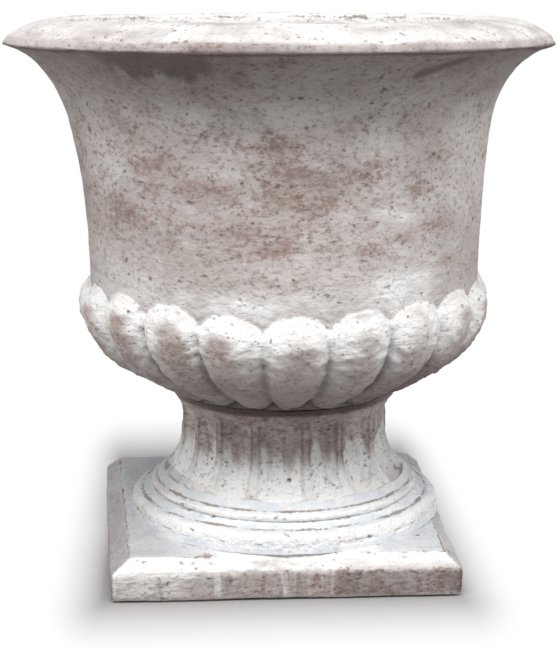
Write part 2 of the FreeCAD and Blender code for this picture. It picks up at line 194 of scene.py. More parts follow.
def points_of(piece):
    """The piece's points: distance from the axis, angle round it, and height."""
    x, y, height = places_of(piece).T
    return np.hypot(x, y), np.degrees(np.arctan2(y, x)) % 360, height


def normals_of(piece):
    """The directions in which the piece's points face."""
    normals = np.zeros(len(piece.data.vertices) * 3)
    piece.data.vertex_normals.foreach_get("vector", normals)
    return normals.reshape(-1, 3)


def half_turn(degrees):
    """Angles brought between -180 and 180."""
    return (degrees + 180) % 360 - 180


def fade(low, high, value):
    """From 0 at low to 1 at high, easing at both ends."""
    share = np.clip((value - low) / (high - low), 0, 1)
    return share * share * (3 - 2 * share)


def ridge(value, middle, spread):
    """1 at the middle, dying out to both sides."""
    return np.exp(-((value - middle) / spread) ** 2)


def arris(points, radius, height, spread):
    """1 along a ring at a distance from the axis and a height, dying out round it."""
    return np.exp(-((points[0] - radius) ** 2 + (points[1] - height) ** 2) / spread)


def patches(turned, level, places):
    """How much each point is within a list of patches."""
    share = np.zeros(len(turned))
    for middle, middle_level, span, reach in places:
        patch = ridge(half_turn(turned - middle), 0, span) * ridge(level, middle_level, reach)
        share = np.maximum(share, patch)
    return share


def pick(piece):
    """Make the piece the one that the next operators work on."""
    bpy.ops.object.select_all(action="DESELECT")
    bpy.context.view_layer.objects.active = piece
    piece.select_set(True)


def apply_modifiers(piece):
    """Make the piece's modifiers part of its mesh."""
    pick(piece)
    for modifier in list(piece.modifiers):
        bpy.ops.object.modifier_apply(modifier=modifier.name)


def smooth(piece):
    """Shade smoothly, but keep the sharp edges."""
    pick(piece)
    bpy.ops.object.shade_smooth_by_angle(angle=math.radians(SHARP_EDGE))


def limit(piece, modifier, weights):
    """Keep a modifier to where the weights are."""
    group = piece.vertex_groups.new(name=modifier.name)
    for index in np.nonzero(weights > 0.001)[0]:
        group.add([int(index)], float(weights[index]), "REPLACE")
    modifier.vertex_group = group.name


def slide(piece, name, direction, distance, weights):
    """Move the surface along a direction where the weights are."""
    move = piece.modifiers.new(name, "DISPLACE")
    move.direction = direction
    move.mid_level = 0
    move.strength = distance * MM
    limit(piece, move, weights)
    apply_modifiers(piece)


def press(piece, name, depth, weights):
    """Push the surface in where the weights are, along the way that it faces."""
    slide(piece, name, "NORMAL", -depth, weights)


def roughen(piece, name, size, height, octaves=2, weights=None):
    """Hand-made unevenness: bumps of a size and height, all over or where the weights are."""
    lumps = bpy.data.textures.new(name, "CLOUDS")
    lumps.noise_scale = size * MM
    lumps.noise_depth = octaves
    swell = piece.modifiers.new(name, "DISPLACE")
    swell.texture = lumps
    swell.texture_coords = "LOCAL"
    swell.mid_level = 0.5
    swell.strength = height * MM
    if weights is not None:
        limit(piece, swell, weights)
    apply_modifiers(piece)


def paint(piece, name, values):
    """Keep a number from 0 to 1 at each point, for the finish to read."""
    layer = piece.data.attributes.new(name, "FLOAT", "POINT")
    layer.data.foreach_set("value", np.clip(values, 0, 1).astype(np.float32))


def turn_bowl():
    """The bowl before it is carved."""
    profile = Profile("urn_bowl", 103, 160.5)
    # Collar, belly and the tuck above it
    profile.line(104, 161.5)
    profile.arc(160.7, 190.3, (-27.5, 479.6), 20)
    profile.arc(194, 240, (119.3, 254), 22)
    profile.arc(183, 271, (162.5, 245.9), 16)
    # Flared wall, lip and domed rim
    profile.arc(194.6, 412, (966, 276), 44)
    profile.arc(215, 460, (304.4, 393.6), 18)
    profile.arc(250.5, 483.2, (265.7, 422.3), 14)
    profile.line(251.2, 484.5)
    profile.line(247, 491, 3)
    profile.line(245, 492.3)
    profile.arc(203, 506.5, (203, 437.3), 15)
    # Mouth, inner wall and floor
    profile.line(198, 505.8, 2)
    profile.line(194, 503)
    profile.line(192.6, 498)
    profile.arc(177, 405, (462, 405), 8)
    profile.arc(166, 262, (1101, 262), 7)
    profile.arc(96, 192, (96, 262), 8)
    profile.line(35, 192, 3)
    # Seat of the drain screen, drain hole, spigot and the face that stands on the stem
    profile.line(35, 189.5)
    profile.line(15, 189.5)
    profile.line(15, 170.5, 2)
    profile.line(52, 170.5, 2)
    profile.line(52, 144.5, 2)
    profile.line(68, 144.5)
    profile.line(68, 158.5)
    profile.line(99.5, 158.5, 2)
    profile.line(100, 160.5)
    profile.line(103, 160.5)
    return profile.turn()


def make_bowl():
    """The bowl: gadroons pressed round the belly, a flared wall and lip, and a hollow inside."""
    bowl = turn_bowl()
    radius, angle, height = points_of(bowl)
    turned = half_turn(angle - FRONT - VIEWER_TURN)
    # What lies on one side only dies out with this towards the back, so that no seam shows there
    near = fade(175, 115, np.abs(turned))

    # Which gadroon a point is on, and how far it is from the crest, -1 to 1 between two creases
    lobe = np.round((angle - FRONT) / GADROON_SPAN)
    across = (angle - FRONT - lobe * GADROON_SPAN) / (GADROON_SPAN / 2)
    lobe = lobe.astype(int) % GADROONS
    from_crest = np.abs(across)
    hollow = 1 - np.sqrt(1 - (GADROON_ROUNDNESS * from_crest) ** 2)
    hollow = hollow / (1 - math.sqrt(1 - GADROON_ROUNDNESS ** 2))
    silted = 0.05 + 0.11 * fade(245, 215, height)
    hollow = np.clip(1 - np.hypot(1 - hollow, silted), 0, 1)

    # The outer skin: the ring of gadroons, the wall above it, and the shoulder between them
    gadroon = (radius > 175) | ((radius > 165) & (height < 235))
    gadroon |= ((radius > 156) & (height < 205)) | ((radius > 103.5) & (height < 191))
    gadroon &= (height > GADROON_FOOT) & (height < GADROON_TOP)
    outside = (radius > WALL_RADIUS) & (height > GADROON_TOP) & (height < 486)
    shoulder = np.clip((height - 243) / 27.5, 0, 1) * fade(294, GADROON_TOP, height)
    shoulder = shoulder * (radius > WALL_RADIUS)

    # Carving: each crease is filled a little differently, and the tops sag in front
    filled = rng.uniform(0.8, 1, GADROONS)
    filled[-1] = 0.75
    filled = filled[np.floor((angle - FRONT) / GADROON_SPAN).astype(int) % GADROONS]
    crease = gadroon * filled * (0.4 + 0.6 * fade(164, 225, height)) * (1 - 0.75 * shoulder ** 2)
    press(bowl, "creases", CREASE_DEPTH, crease * hollow)
    slide(bowl, "rounded_ends", "Z", END_LIFT, gadroon * hollow * fade(182, 166, height))
    slide(bowl, "arched_tops", "Z", -NOTCH_DEPTH, shoulder * hollow)
    own_sag = rng.uniform(0, 1, GADROONS)[lobe]
    sag = 0.75 * ridge(turned, -3, 27) + 0.25 * own_sag * (1 - hollow)
    sag = sag * fade(212, 252, height) * fade(305, 272, height) * (radius > 165)
    slide(bowl, "uneven_tops", "Z", -SAG_DEPTH, sag)
    slide(bowl, "leaning_rim", "X", -RIM_LEAN, fade(340, 470, height))

    lip = fade(238, 246, radius) * fade(476, 483, height)
    roughen(bowl, "hand_wobble", 130, 4)
    roughen(bowl, "finger_lumps", 30, 1.8)
    roughen(bowl, "chipped_lip", 16, 3.4, 3, lip)
    roughen(bowl, "scraped_lobes", 9, 4.4, 4, gadroon)
    roughen(bowl, "scraped_skin", 7, 0.8, 3)

    # Places that the finish tells apart
    normals = normals_of(bowl)
    up = normals[:, 2]
    heading = np.radians(angle)
    outwards = normals[:, 0] * np.cos(heading) + normals[:, 1] * np.sin(heading)
    inside = (outwards < -0.3) & (radius > 90) & (radius < 200) & (height > 200)
    top = fade(486, 490, height) * (radius > 190) * (up > 0.3)
    middle = ridge(turned, 0, 32)
    lip_band = fade(243, 247, radius) * fade(482.5, 484.5, height) * fade(492.5, 490, height)
    lip_foot = fade(240, 246, radius) * ridge(height, 484.4, 2.4)
    wall_foot = outside * fade(300, 275, height)
    rim_patch = patches(turned, radius, RIM_PATCHES)
    share = rng.uniform(0.45, 0.95, GADROONS)[lobe]
    lean = rng.uniform(-0.3, 0.3, GADROONS)[lobe]
    lobe_patch = share * gadroon * fade(0.75, 0.1, np.abs(across - lean))
    lobe_patch = lobe_patch * fade(264, 248, height) * fade(178, 210, height)

    # Painted shade in the creases, on the gadroons' lower halves, under the rim, on the wall's
    # flanks, under the collar and lower down inside; darker on the lip band and its lower edge; and
    # real marks: a stain on the left under the rim, and a crack
    ragged = 3.5 * np.sin(0.55 * turned) + 2.5 * np.sin(1.3 * turned + 1) + np.sin(3.1 * turned)
    left_stain = outside * fade(-43, -31, turned) * fade(-12, -17, turned)
    left_stain = left_stain * fade(459, 474, height + ragged)
    crack = ridge(height, 463 + (turned - 28) * 1.05, 1.5 + 0.16 * (44 - turned))
    crack = crack * outside * fade(29, 31, turned) * fade(44, 39, turned)
    flank = 0.36 * fade(-46, -78, turned) + 0.2 * fade(50, 80, turned) * fade(330, 290, height)
    dirt_and_shade = 0.4 * crease * filled * fade(0.78, 1, from_crest) * fade(0.6, 0.1, up)
    dirt_and_shade += gadroon * fade(238, 178, height) * (0.62 + 0.2 * near * fade(15, 50, turned))
    dirt_and_shade += 0.7 * outside * fade(385, 480, height) + 0.5 * left_stain + 0.45 * crack
    dirt_and_shade += outside * flank * near * fade(450, 400, height)
    dirt_and_shade += (0.22 + 0.16 * middle) * lip_band + 0.3 * lip_foot
    dirt_and_shade += 0.5 * (radius > 101) * fade(163, 161, height) + 0.4 * inside * fade(470, 380, height)
    paint(bowl, "grime_and_shade", dirt_and_shade)

    # Limewash on the gadroons, the rim and mouth, the lip's sides and the wall. On the gadroons it
    # is left off the faces that turn down, a painted shade on their undersides, and thinner on
    # their tops
    thick = gadroon * (0.68 - 0.52 * lobe_patch) * fade(-1, 0, up) * (1 - 0.4 * fade(0.4, 0.9, up))
    thick += (0.5 - 0.12 * rim_patch) * top * fade(248, 244, radius)
    thick += 0.85 * inside * fade(455, 490, height) + 0.4 * (1 - middle) * lip_band
    thick += 0.36 * outside * patches(turned, height, LIMEWASH_PATCHES)
    thick += 0.24 * wall_foot * (1 - near * fade(30, 58, turned))
    thick += 0.2 * outside * fade(8, 30, turned) * fade(58, 44, turned) * fade(380, 320, height)
    paint(bowl, "limewash", thick)

    # Rubbed down to the clay on the gadroons, the wall and the rim
    rubbed = 0.85 * lobe_patch + 0.1 * lip_band
    wall_band = outside * fade(285, 325, height) * fade(450, 410, height)
    rubbed += 0.3 * wall_band * (1 - 0.6 * near * fade(12, 40, turned))
    rubbed += top * (0.15 + 0.1 * near * fade(-5, -50, turned) + 0.4 * rim_patch)
    rubbed += 0.65 * outside * patches(turned, height, RUBBED_PATCHES)
    paint(bowl, "rubbed", rubbed)

    # Edges worn along the lip and the mouth
    front_lip = fade(30, 0, turned) * fade(-52, -25, turned)
    worn = 0.3 * arris((radius, height), 246, 491.7, 6)
    worn += 0.6 * arris((radius, height), 195, 503.5, 8) + (0.12 + 0.4 * front_lip) * lip_foot
    paint(bowl, "worn", worn)
    # Painted sky tint on the wall just above the gadroons, less towards the right
    paint(bowl, "painted_sky_tint", 0.15 * wall_foot * (1 - near * fade(35, 65, turned)))
    paint(bowl, "grit", 0.1 * gadroon + 0.06 * outside)
    paint(bowl, "drips", np.zeros(len(height)))
    smooth(bowl)
    return bowl


def turn_stem():
    """The stem before it is carved."""
    profile = Profile("urn_stem", 101.75, 42.5)
    # Underside, torus and bead
    profile.line(137, 42.5, 3)
    profile.line(137.5, 41)
    profile.line(149.5, 41, 3)
    profile.line(147.8, 46, 3)
    profile.line(147, 50.75, 3)
    profile.arc(138.75, 59, (138.75, 50.75), 9)
    profile.line(124.7, 63.3, 7)
    profile.arc(124.7, 70.5, (124.5, 66.9), 10)
    # Flare, neck and collar
    profile.line(123.2, 71)
    profile.line(122.5, 73.3, 2)
    profile.arc(99, 117.5, (152.6, 117.5), 32)
    profile.line(98.5, 137.5, 10)
    profile.arc(106, 156.5, (126.5, 137.5), 12)
    profile.line(104.4, 160, 2)
    # Bed of the seat ring, socket and hollow
    profile.line(100.5, 160)
    profile.line(100, 156.5)
    profile.line(72, 156.5, 4)
    profile.line(72, 98.5, 6)
    profile.line(101.75, 56.5, 4)
    profile.line(101.75, 42.5, 2)
    return profile.turn()


def make_stem():
    """The stem: torus foot, bead, fluted flare and neck, hollow inside."""
    stem = turn_stem()
    radius, angle, height = points_of(stem)
    turned = half_turn(angle - FRONT - VIEWER_TURN)
    near = fade(175, 115, np.abs(turned))
    flanks = fade(20, 75, np.abs(turned))

    # The two fillets beside each point, and how far it is across the flute, -1 to 1
    fillets = np.sort((np.array(SEEN_FILLETS + BACK_FILLETS) + FRONT + VIEWER_TURN) % 360)
    after = np.searchsorted(fillets, angle) % len(fillets)
    left = fillets[after - 1]
    span = (fillets[after] - left) % 360
    across = 2 * ((angle - left) % 360) / span - 1
    flute_edge = 1 - (0.17 + 0.05 * fade(120, 80, height))
    hollow = np.clip(1 - (np.abs(across) / flute_edge) ** 2.4, 0, 1)

    outside = (radius > 97) & (height > 73) & (height < 156)
    fluted = outside * fade(78.6, 79.8, height) * fade(149, 140, height)
    broad = (span > BROAD_FLUTE) * fade(128, 100, height)
    press(stem, "flutes", FLUTE_DEPTH, fluted * hollow)
    press(stem, "deep_flute", BROAD_FLUTE_DEPTH, fluted * hollow * broad)
    roughen(stem, "hand_wobble", 90, 2.5)
    roughen(stem, "finger_lumps", 22, 1.8)
    roughen(stem, "scraped_skin", 8, 1.5, 3)

    # Places that the finish tells apart
    up = normals_of(stem)[:, 2]
    edge = ridge(np.abs(across), flute_edge, 0.08) * fluted
    neck = outside * fade(92, 116, height)
    sunk = fade(0, 0.3, hollow)
    mouldings = (height > 45) * (height < 72) * (radius > 119)

    # Painted shade: under the collar and down the neck in the bowl's shadow, more in the middle; on
    # the flanks of the flare and mouldings, less on the right; and along the flutes' edges above
    # their feet
    shade = 0.15 * fade(132, 154, height) + 0.95 * fade(154, 157, height)
    shade = (shade * (radius > 97) + 0.38 * neck) * (1 - 0.45 * flanks)
    shade += 0.35 * (radius > 110) * flanks * (1 - 0.8 * near * (turned > 0))
    paint(stem, "grime_and_shade", shade + 0.22 * edge * fade(79, 86, height))

    # Limewash on the flare, up to a ragged line, and on the mouldings, thinner on the mouldings'
    # flanks: a painted shade on the sides
    ragged = 7 * np.sin(0.23 * turned + 1) + 5 * np.sin(0.61 * turned)
    ragged = (ragged + 1.5 * np.sin(1.7 * turned + 2)) * near
    panels = fade(79, 80, height) * fade(134, 98, height + ragged) * (0.6 + 0.4 * sunk)
    lime = (0.82 + 0.3 * near * fade(5, 35, turned)) * outside * panels
    paint(stem, "limewash", lime + mouldings * (1 - 0.45 * flanks))
    paint(stem, "rubbed", 0.3 * neck + 0.2 * edge + 0.3 * outside)

    # Edges worn on the torus, under the bead and at the flare's foot
    worn = 0.74 * arris((radius, height), 137.5, 59.5, 5)
    worn += 0.54 * ridge(height, 49.3, 1.2) * (radius > 143)
    worn += 0.74 * arris((radius, height), 123, 71.8, 3.5)
    worn += 0.5 * arris((radius, height), 127, 62.8, 3)
    paint(stem, "worn", worn)

    # Painted sky tint: a pale bluish colour on the ledges and the fillets, standing in for the cool
    # light there in the bowl's shade
    ledge = fade(0.75, 0.92, up) * (height > 56) * (height < 72)
    ledge += 0.9 * (radius > 143) * (height < 48.5)
    ledge += (radius > 113) * (height > 72) * (height < 79)
    paint(stem, "painted_sky_tint", ledge + 0.4 * (1 - sunk) * fluted * fade(118, 98, height))
    paint(stem, "grit", outside * fade(78, 88, height))
    paint(stem, "drips", 0.4 * outside * fade(78, 84, height) * fade(152, 138, height))
    smooth(stem)
    return stem


def bore(piece, radius, x, y, top):
    """Bore a round hole into the piece from below, up to a height."""
    bpy.ops.object.select_all(action="DESELECT")
    bpy.ops.mesh.primitive_cylinder_add(
        vertices=48, radius=radius * MM, depth=(top - BORE_FOOT) * MM,
        location=(x * MM, y * MM, (BORE_FOOT + top) / 2 * MM))
    borer = bpy.context.object
    cut = piece.modifiers.new("bore", "BOOLEAN")
    cut.operation = "DIFFERENCE"
    cut.object = borer
    apply_modifiers(piece)
    bpy.data.objects.remove(borer)


def shift_corners(mesh, chosen, aside, back):
    """Move the chosen corners of a mesh that is being edited."""
    bpy.ops.mesh.select_all(action="DESELECT")
    for corner in mesh.verts:
        corner.select = chosen(corner.co)
    mesh.select_flush(True)
    bpy.ops.transform.translate(value=(aside * MM, back * MM, 0))


def cut_slab():
    """The plinth before its surface is worn: a slab out of square, with a sloped top edge."""
    bpy.ops.object.select_all(action="DESELECT")
    bpy.ops.mesh.primitive_cube_add(size=1, location=(0, 0, PLINTH_MIDDLE * MM))
    plinth = bpy.context.object
    plinth.name = "urn_plinth"
    plinth.scale = (PLINTH_SIDE * MM, PLINTH_SIDE * MM, PLINTH_HEIGHT * MM)
    bpy.ops.object.transform_apply(location=True, rotation=False, scale=True)
    bpy.ops.object.mode_set(mode="EDIT")
    mesh = bmesh.from_edit_mesh(plinth.data)
    upper = 30 * MM
    for side_x, side_y, aside, back in PLINTH_CORNERS:
        shift_corners(mesh, lambda at: at.x * side_x > 0 and at.y * side_y > 0, aside, back)
    bpy.ops.mesh.select_all(action="DESELECT")
    for edge in mesh.edges:
        edge.select = all(end.co.z > upper for end in edge.verts)
    mesh.select_flush(True)
    bpy.ops.mesh.bevel(offset=SLOPE_WIDTH * MM, offset_type="OFFSET", segments=1, affect="EDGES")
    for side, aside in SLOPE_CORNERS:
        shift_corners(
            mesh, lambda at: at.z > upper and at.y < 0 and at.x * side > 0, aside, SLOPE_FORWARD)
    bpy.ops.object.mode_set(mode="OBJECT")
    return plinth


def make_plinth():
    """The plinth: a worn slab with a drain hole in the middle and room for pads underneath."""
    plinth = cut_slab()
    grid = plinth.modifiers.new("clay_grain", "REMESH")
    grid.mode = "VOXEL"
    grid.voxel_size = PLINTH_GRAIN * MM
    wear = plinth.modifiers.new("worn_edges", "SMOOTH")
    wear.factor = 0.5
    wear.iterations = 3
    apply_modifiers(plinth)
    roughen(plinth, "hand_wobble", 120, 3)
    roughen(plinth, "finger_lumps", 26, 1.5)
    roughen(plinth, "scraped_skin", 6, 0.8, 3)

    # Places that the finish tells apart
    x, y, height = places_of(plinth).T
    normals = normals_of(plinth)
    up = normals[:, 2]
    side = fade(0.5, 0.15, np.abs(up)) * (height < 30)
    slope = ridge(up, 0.7, 0.25)
    top = fade(0.85, 0.95, up)
    front = fade(0.3, 0.6, -normals[:, 1])
    flank = fade(0.35, 0.6, np.abs(normals[:, 0]))
    right = fade(33, 42, x)
    # The top paler in front of the foot
    pale_top_front = 0.6 * top * fade(110, 50, np.abs(x)) * (y < 0)

    # Painted shade along the ground, on the flanks, more on the left, and at the ends of the top;
    # the front face darker, more to the right
    dirt_and_shade = 0.9 * fade(6, 1, height) * side + (0.3 + 0.15 * (x < 0)) * flank
    dirt_and_shade += (0.3 + 0.22 * right) * side * front
    dirt_and_shade += 0.38 * top * fade(-50, -130, x) + 0.25 * top * fade(70, 120, x)
    paint(plinth, "grime_and_shade", dirt_and_shade)

    # Limewash on the slope, the upper side and the top's pale front
    lime = slope * front * (0.85 - 0.3 * right * fade(37, 30, height))
    lime += 0.5 * side * fade(20, 27, height) + 0.45 * slope * flank * fade(34, 39, height)
    lime += 0.45 * side * front * fade(-60, -110, x) + 1.3 * pale_top_front
    paint(plinth, "limewash", lime)
    paint(plinth, "rubbed", side * (0.1 + 0.6 * fade(-60, 20, x)) + 0.08 * slope * flank)

    # Edges worn above and below the slope
    upper_edge = ridge(height, 39.8, 2) * ridge(up, 0.86, 0.1)
    lower_edge = ridge(height, 26, 2.2) * front * (0.25 + 0.75 * right)
    paint(plinth, "worn", 0.68 * upper_edge + 0.75 * lower_edge)
    # Painted sky tint on the top, less on its pale front, and on the slope's flanks
    paint(plinth, "painted_sky_tint", top - pale_top_front + 0.4 * slope * flank)
    paint(plinth, "drips", side * (1 - 0.75 * right))
    paint(plinth, "grit", 0.4 * side + 0.15 * slope)

    bore(plinth, DRAIN_RADIUS, 0, 0, DRAIN_TOP)
    for pad_x in (-PAD_PLACE, PAD_PLACE):
        for pad_y in (-PAD_PLACE, PAD_PLACE):
            bore(plinth, PAD_RADIUS, pad_x, pad_y, PAD_TOP)
    smooth(plinth)
    return plinth


class Finish:
    """A finish put together from nodes, on the piece's own coordinates, in metres."""

    def __init__(self, name, roughness):
        self.material = bpy.data.materials.new(name)
        self.material.use_nodes = True
        self.tree = self.material.node_tree
        self.shader = self.tree.nodes["Principled BSDF"]
        self.shader.inputs["Roughness"].default_value = roughness
        self.place = self.tree.nodes.new("ShaderNodeTexCoord").outputs["Object"]

    def put(self, socket, value):
        """Give a socket a number, a colour or another node's output."""
        if isinstance(value, bpy.types.NodeSocket):
            self.tree.links.new(value, socket)
        else:
            socket.default_value = value

    def squeezed(self, squeeze, shift=0.0):
        """The piece's coordinates, squeezed upright and moved along."""
        mapping = self.tree.nodes.new("ShaderNodeMapping")
        self.put(mapping.inputs["Vector"], self.place)
        mapping.inputs["Location"].default_value = (shift, shift * 0.7, shift * 1.3)
        mapping.inputs["Scale"].default_value = (1, 1, squeeze)
        return mapping.outputs["Vector"]

    def noise(self, scale, detail, squeeze=1, roughness=0.6, warp=0, shift=0.0):
        """Cloudy variation."""
        node = self.tree.nodes.new("ShaderNodeTexNoise")
        self.put(node.inputs["Vector"], self.squeezed(squeeze, shift))
        node.inputs["Scale"].default_value = scale
        node.inputs["Detail"].default_value = detail
        node.inputs["Roughness"].default_value = roughness
        node.inputs["Distortion"].default_value = warp
        return node.outputs["Fac"]

    def spots(self, scale, share, least, most, reach):
        """Scattered soft spots: the share of cells that hold one, their sizes and raggedness."""
        squeeze = 1.25
        shake = self.tree.nodes.new("ShaderNodeTexNoise")
        self.put(shake.inputs["Vector"], self.squeezed(squeeze, scale / 50))
        shake.inputs["Scale"].default_value = scale * 1.1
        shake.inputs["Detail"].default_value = 2
        ragged = self.tree.nodes.new("ShaderNodeVectorMath")
        ragged.operation = "MULTIPLY_ADD"
        self.put(ragged.inputs[0], shake.outputs["Color"])
        ragged.inputs[1].default_value = (reach, reach, reach)
        self.put(ragged.inputs[2], self.squeezed(squeeze))
        node = self.tree.nodes.new("ShaderNodeTexVoronoi")
        self.put(node.inputs["Vector"], ragged.outputs["Vector"])
        node.inputs["Scale"].default_value = scale
        split = self.tree.nodes.new("ShaderNodeSeparateColor")
        self.put(split.inputs["Color"], node.outputs["Color"])
        size = self.plus(self.times(split.outputs["Green"], most - least), least)
        spot = self.between(node.outputs["Distance"], size, self.times(size, 0.35))
        return self.times(spot, self.sums("LESS_THAN", split.outputs["Red"], share))

    def painted(self, name):
        """A number kept at the piece's points."""
        node = self.tree.nodes.new("ShaderNodeAttribute")
        node.attribute_name = name
        return node.outputs["Fac"]

    def between(self, value, low, high):
        """0 at low, 1 at high."""
        node = self.tree.nodes.new("ShaderNodeMapRange")
        node.interpolation_type = "SMOOTHSTEP"
        self.put(node.inputs["Value"], value)
        self.put(node.inputs["From Min"], low)
        self.put(node.inputs["From Max"], high)
        return node.outputs["Result"]

    def sums(self, operation, first, second):
        """Two numbers joined by an operation."""
        node = self.tree.nodes.new("ShaderNodeMath")
        node.operation = operation
        self.put(node.inputs[0], first)
        self.put(node.inputs[1], second)
        return node.outputs["Value"]

    def times(self, first, second):
        """Two numbers multiplied."""
        return self.sums("MULTIPLY", first, second)

    def plus(self, first, second):
        """Two numbers added."""
        return self.sums("ADD", first, second)

    def layer(self, under, over, cover):
        """One colour laid over another where the cover is."""
        node = self.tree.nodes.new("ShaderNodeMix")
        node.data_type = "RGBA"
        self.put(node.inputs["Factor"], cover)
        self.put(node.inputs[6], under)
        self.put(node.inputs[7], over)
        return node.outputs[2]

    def coat(self, under, over, cover, strength):
        """One colour laid over another where the cover is, and not quite hiding it."""
        return self.layer(under, over, self.times(cover, strength))

    def relief(self, height, distance, strength=1.0, under=None):
        """A bump from a height."""
        node = self.tree.nodes.new("ShaderNodeBump")
        node.inputs["Strength"].default_value = strength
        node.inputs["Distance"].default_value = distance
        self.put(node.inputs["Height"], height)
        if under is not None:
            self.put(node.inputs["Normal"], under)
        return node.outputs["Normal"]

    def finish(self, colour, normal):
        """Give the shader its colour and relief."""
        self.put(self.shader.inputs["Base Color"], colour)
        self.put(self.shader.inputs["Normal"], normal)
        return self.material


def rgb(red, green, blue):
    """A colour given as it looks on a screen, from 0 to 255."""
    linear = []
    for part in (red, green, blue):
        share = part / 255
        linear.append(share / 12.92 if share <= 0.04045 else ((share + 0.055) / 1.055) ** 2.4)
    return (*linear, 1)


WASH_DULL = rgb(192, 183, 179)
WASH_PALE = rgb(217, 211, 208)
WASH_COOL = rgb(190, 192, 191)
WASH_STREAK = rgb(158, 145, 141)
WASH_SCRATCH = rgb(236, 233, 231)
WASH_STIPPLE = rgb(146, 134, 129)
MAUVE = rgb(170, 149, 141)
CLAY_DARK = rgb(128, 102, 95)
CLAY_LIGHT = rgb(154, 129, 120)
CLAY_SCRATCH = rgb(226, 222, 219)
LIME = rgb(247, 246, 244)
# Painted shade in small pits and pit marks
FINE_PIT_SHADE = rgb(130, 113, 106)
MARK_PIT_SHADE = rgb(120, 103, 96)
LIME_RUN = rgb(236, 234, 233)
BARE_RUN = rgb(138, 124, 118)
SKY_TINT_DULL = rgb(216, 222, 227)
# Painted sky tint on level faces, dull and pale
SKY_TINT_PALE = rgb(240, 243, 246)
WORN_CLAY = rgb(140, 120, 110)
# Painted shade, with grime
SHADE_AND_GRIME = rgb(80, 67, 66)
# Painted shade in pits
PIT_SHADE = rgb(96, 80, 73)
GRAIN = rgb(126, 117, 112)


